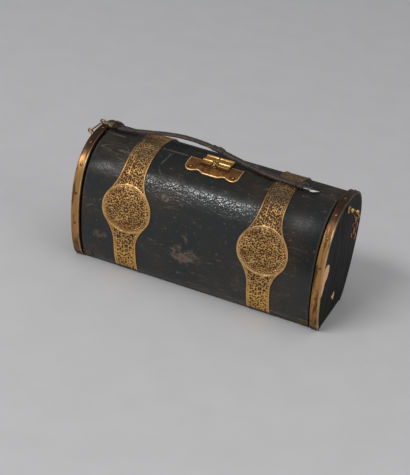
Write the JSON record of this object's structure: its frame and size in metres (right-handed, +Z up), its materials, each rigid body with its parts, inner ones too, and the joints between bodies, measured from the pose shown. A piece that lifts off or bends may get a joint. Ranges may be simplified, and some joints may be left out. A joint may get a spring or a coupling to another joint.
{
  "type": "dressing box",
  "caption": "Trunk-shaped dressing box with gilt-bound end plates, pierced straps, scalloped lock plate, torn handle, chain, swing-down curved front and a fitted inside with bottles and mirror.",
  "frame": {"origin": "middle of the underside, on the surface the box stands on", "axes": "+X along the box, from the end with the handle's hook to the end with the hanging chain; the swing-down front faces -Y; +Z up"},
  "size_m": [0.2409, 0.092, 0.1223],
  "materials": {
    "box_wood": "oiled, closed grain",
    "gilt_band": "polished gilt, darkened in the corners",
    "gilt_nails": "polished gilt",
    "end_leather": "waxed black leather with bare chips",
    "black_leather": "waxed black leather, crackled and rubbed brown",
    "red_silk": "faded crimson silk",
    "red_velvet": "crimson velvet",
    "pierced_gilt": "stamped and pierced gilt, tarnished in the hollows",
    "lock_gilt": "engraved gilt",
    "polished_gilt": "polished gilt",
    "dark_brass": "olive tarnished brass",
    "chain_brass": "worn gilt wire",
    "handle_leather": "dark brown leather, cracked",
    "torn_leather": "torn pale leather core",
    "looking_glass": "silvered glass",
    "clear_glass": "clear blown glass",
    "cut_glass": "cut glass",
    "ivory_ware": "polished cream",
    "horn": "mottled horn"
  },
  "bodies": {
    "carcass": {"left_end_board": "box_wood", "right_end_board": "box_wood", "left_band": "gilt_band", "right_band": "gilt_band", "band_nails": "gilt_nails", "left_end_leather": "end_leather", "right_end_leather": "end_leather", "left_end_lining": "red_silk", "right_end_lining": "red_silk", "base_board": "box_wood", "base_leather": "black_leather", "back_board": "box_wood", "back_leather": "black_leather", "back_lining": "red_silk", "top_rail": "box_wood", "rear_left_strap": "pierced_gilt", "rear_right_strap": "pierced_gilt", "catch_plate": "lock_gilt", "left_stud": "polished_gilt", "right_stud": "polished_gilt", "left_hinge_pin": "dark_brass", "right_hinge_pin": "dark_brass", "fitted_block": "red_velvet"},
    "front_cover": {"cover_board": "box_wood", "cover_leather": "black_leather", "cover_lining": "red_silk", "front_left_strap": "pierced_gilt", "front_right_strap": "pierced_gilt", "left_knuckle": "dark_brass", "right_knuckle": "dark_brass", "lock_plate": "lock_gilt", "lock_case": "lock_gilt", "lock_tongue": "dark_brass", "lock_pins": "gilt_nails", "mirror_backing": "red_silk", "mirror_glass": "looking_glass", "mirror_frame": "gilt_band"},
    "button": {"push_button": "polished_gilt"},
    "hook_link": {"left_link": "chain_brass"},
    "handle": {"handle_clip": "chain_brass", "handle_strap": "handle_leather", "handle_keepers": "handle_leather", "frayed_end": "torn_leather"},
    "link_1": {"chain_link_1": "chain_brass"},
    "link_2": {"chain_link_2": "chain_brass"},
    "link_3": {"chain_link_3": "chain_brass"},
    "link_4": {"chain_link_4": "chain_brass"},
    "scent_bottle_1": {"bottle_1": "clear_glass"},
    "glass_stopper_1": {"stopper_1": "cut_glass"},
    "scent_bottle_2": {"bottle_2": "clear_glass"},
    "glass_stopper_2": {"stopper_2": "cut_glass"},
    "scent_bottle_3": {"bottle_3": "clear_glass"},
    "glass_stopper_3": {"stopper_3": "cut_glass"},
    "powder_pot": {"powder_box": "ivory_ware"},
    "pot_lid": {"powder_lid": "ivory_ware"},
    "hair_comb": {"comb": "horn"}
  },
  "joints": [
    {"name": "cover_hinge", "type": "hinge", "parent": "carcass", "child": "front_cover", "pos_m": [0, -0.027, 0.004], "axis": [1, 0, 0], "range_deg": [0, 60]},
    {"name": "button_press", "type": "slide", "parent": "front_cover", "child": "button", "axis": [0, 1, 0], "range_m": [0, 0.0012], "stiffness_N_per_m": 300, "springref_m": -0.001},
    {"name": "hook_swing", "type": "hinge", "parent": "carcass", "child": "hook_link", "pos_m": [-0.11869, 0, 0.10195], "axis": [0, -1, 0], "range_deg": [0, 70]},
    {"name": "handle_swing", "type": "hinge", "parent": "hook_link", "child": "handle", "pos_m": [-0.10912, 0, 0.1121], "axis": [0, -1, 0], "range_deg": [0, 70]},
    {"name": "chain_1", "type": "hinge", "parent": "carcass", "child": "link_1", "pos_m": [0.1168, 0, 0.0937], "axis": [1, 0, 0], "range_deg": [-60, 60]},
    {"name": "chain_2", "type": "hinge", "parent": "link_1", "child": "link_2", "pos_m": [0.1168, 0, 0.0902], "axis": [1, 0, 0], "range_deg": [-25, 25]},
    {"name": "chain_3", "type": "hinge", "parent": "link_2", "child": "link_3", "pos_m": [0.1168, 0, 0.0844], "axis": [1, 0, 0], "range_deg": [-25, 25]},
    {"name": "chain_4", "type": "hinge", "parent": "link_3", "child": "link_4", "pos_m": [0.1168, 0, 0.0809], "axis": [1, 0, 0], "range_deg": [-25, 25]},
    {"name": "bottle_1_lift", "type": "slide", "parent": "carcass", "child": "scent_bottle_1", "axis": [0, 0, 1], "range_m": [0, 0.0125]},
    {"name": "stopper_1_lift", "type": "slide", "parent": "scent_bottle_1", "child": "glass_stopper_1", "axis": [0, 0, 1], "range_m": [0, 0.01]},
    {"name": "bottle_2_lift", "type": "slide", "parent": "carcass", "child": "scent_bottle_2", "axis": [0, 0, 1], "range_m": [0, 0.0125]},
    {"name": "stopper_2_lift", "type": "slide", "parent": "scent_bottle_2", "child": "glass_stopper_2", "axis": [0, 0, 1], "range_m": [0, 0.01]},
    {"name": "bottle_3_lift", "type": "slide", "parent": "carcass", "child": "scent_bottle_3", "axis": [0, 0, 1], "range_m": [0, 0.0125]},
    {"name": "stopper_3_lift", "type": "slide", "parent": "scent_bottle_3", "child": "glass_stopper_3", "axis": [0, 0, 1], "range_m": [0, 0.01]},
    {"name": "powder_pot_lift", "type": "slide", "parent": "carcass", "child": "powder_pot", "axis": [0, 0, 1], "range_m": [0, 0.0125]},
    {"name": "pot_lid_lift", "type": "slide", "parent": "powder_pot", "child": "pot_lid", "axis": [0, 0, 1], "range_m": [0, 0.008]},
    {"name": "comb_lift", "type": "slide", "parent": "carcass", "child": "hair_comb", "axis": [0, 0, 1], "range_m": [0, 0.0125]}
  ]
}
